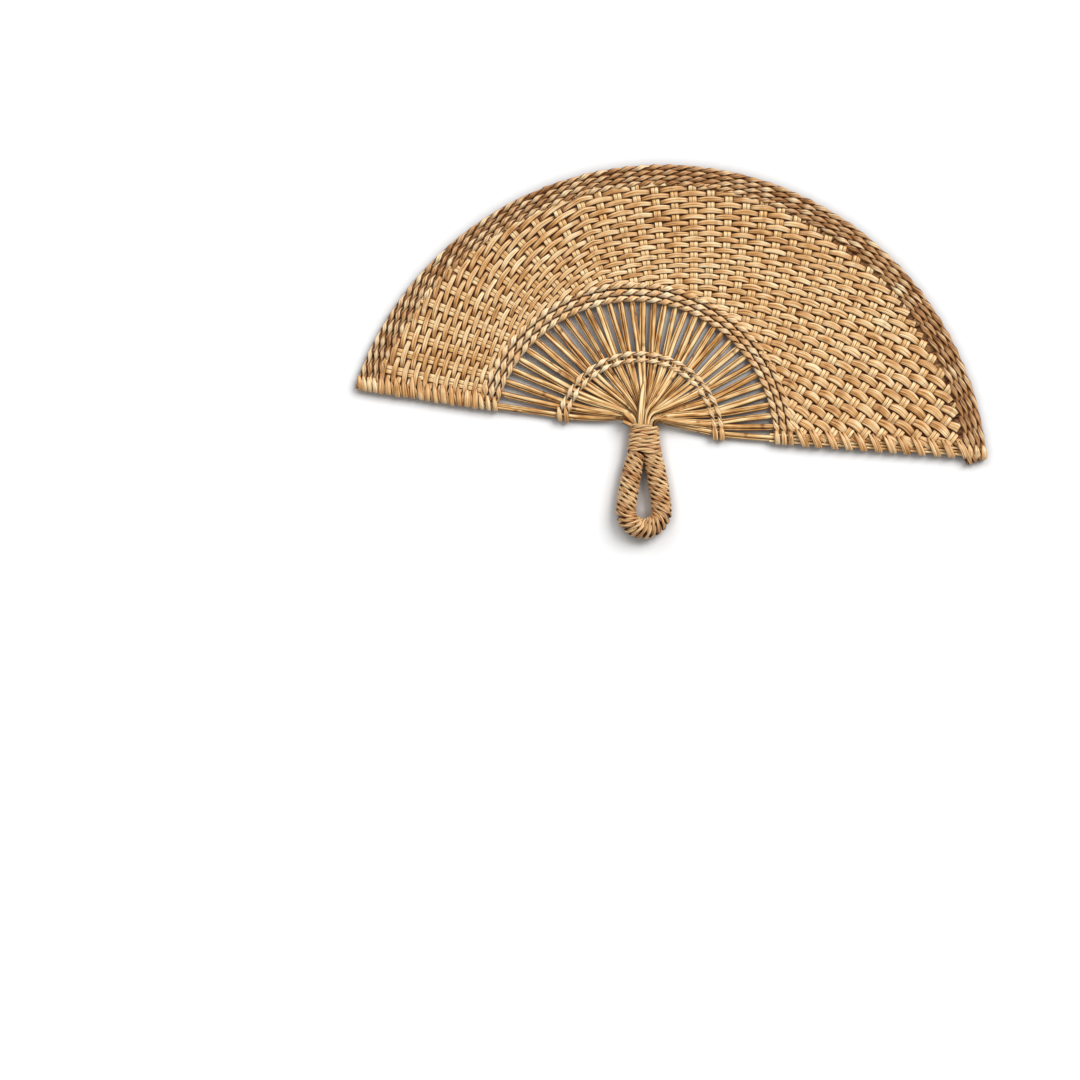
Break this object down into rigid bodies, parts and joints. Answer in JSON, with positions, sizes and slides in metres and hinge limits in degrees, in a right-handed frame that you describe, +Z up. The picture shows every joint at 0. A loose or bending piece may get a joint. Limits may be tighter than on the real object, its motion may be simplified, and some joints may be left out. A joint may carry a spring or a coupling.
{
  "type": "woven straw fan",
  "caption": "Fixed half-round hand fan of woven straw on spread cane ribs, with twined bands and rim and a whipped loop handle.",
  "frame": {"origin": "on the surface that the fan lies on, under the middle of its bounding box", "axes": "+X along the width of the blade, +Y from the handle toward the rim, +Z up, away from the surface"},
  "size_m": [0.3988, 0.2356, 0.013],
  "materials": {
    "cane": "satin split cane",
    "weft_straw": "satin flat straw",
    "twine_straw": "satin twisted straw",
    "core_straw": "matt bundled straw",
    "cord_straw": "satin straw cord"
  },
  "bodies": {
    "root": {"edge_stake_left": "cane", "edge_stake_right": "cane", "rib_pair_01": "cane", "rib_pair_02": "cane", "rib_pair_03": "cane", "rib_pair_04": "cane", "rib_pair_05": "cane", "rib_pair_06": "cane", "rib_pair_07": "cane", "rib_pair_08": "cane", "rib_pair_09": "cane", "rib_pair_10": "cane", "rib_pair_11": "cane", "rib_pair_12": "cane", "rib_pair_13": "cane", "rib_pair_14": "cane", "rib_pair_15": "cane", "rib_pair_16": "cane", "rib_pair_17": "cane", "weft_01": "weft_straw", "weft_02": "weft_straw", "weft_03": "weft_straw", "weft_04": "weft_straw", "weft_05": "weft_straw", "weft_06": "weft_straw", "weft_07": "weft_straw", "weft_08": "weft_straw", "weft_09": "weft_straw", "weft_10": "weft_straw", "weft_11": "weft_straw", "weft_12": "weft_straw", "weft_13": "weft_straw", "weft_14": "weft_straw", "weft_15": "weft_straw", "weft_16": "weft_straw", "weft_17": "weft_straw", "inner_twine_1a": "twine_straw", "inner_twine_1b": "twine_straw", "inner_twine_2a": "twine_straw", "inner_twine_2b": "twine_straw", "band_twine_1a": "twine_straw", "band_twine_1b": "twine_straw", "band_twine_2a": "twine_straw", "band_twine_2b": "twine_straw", "band_twine_3a": "twine_straw", "band_twine_3b": "twine_straw", "rim_twine_1a": "twine_straw", "rim_twine_1b": "twine_straw", "rim_twine_2a": "twine_straw", "rim_twine_2b": "twine_straw", "rim_twine_3a": "twine_straw", "rim_twine_3b": "twine_straw", "handle_core": "core_straw", "loop_whipping": "cord_straw", "neck_binding": "cord_straw"}
  },
  "joints": []
}
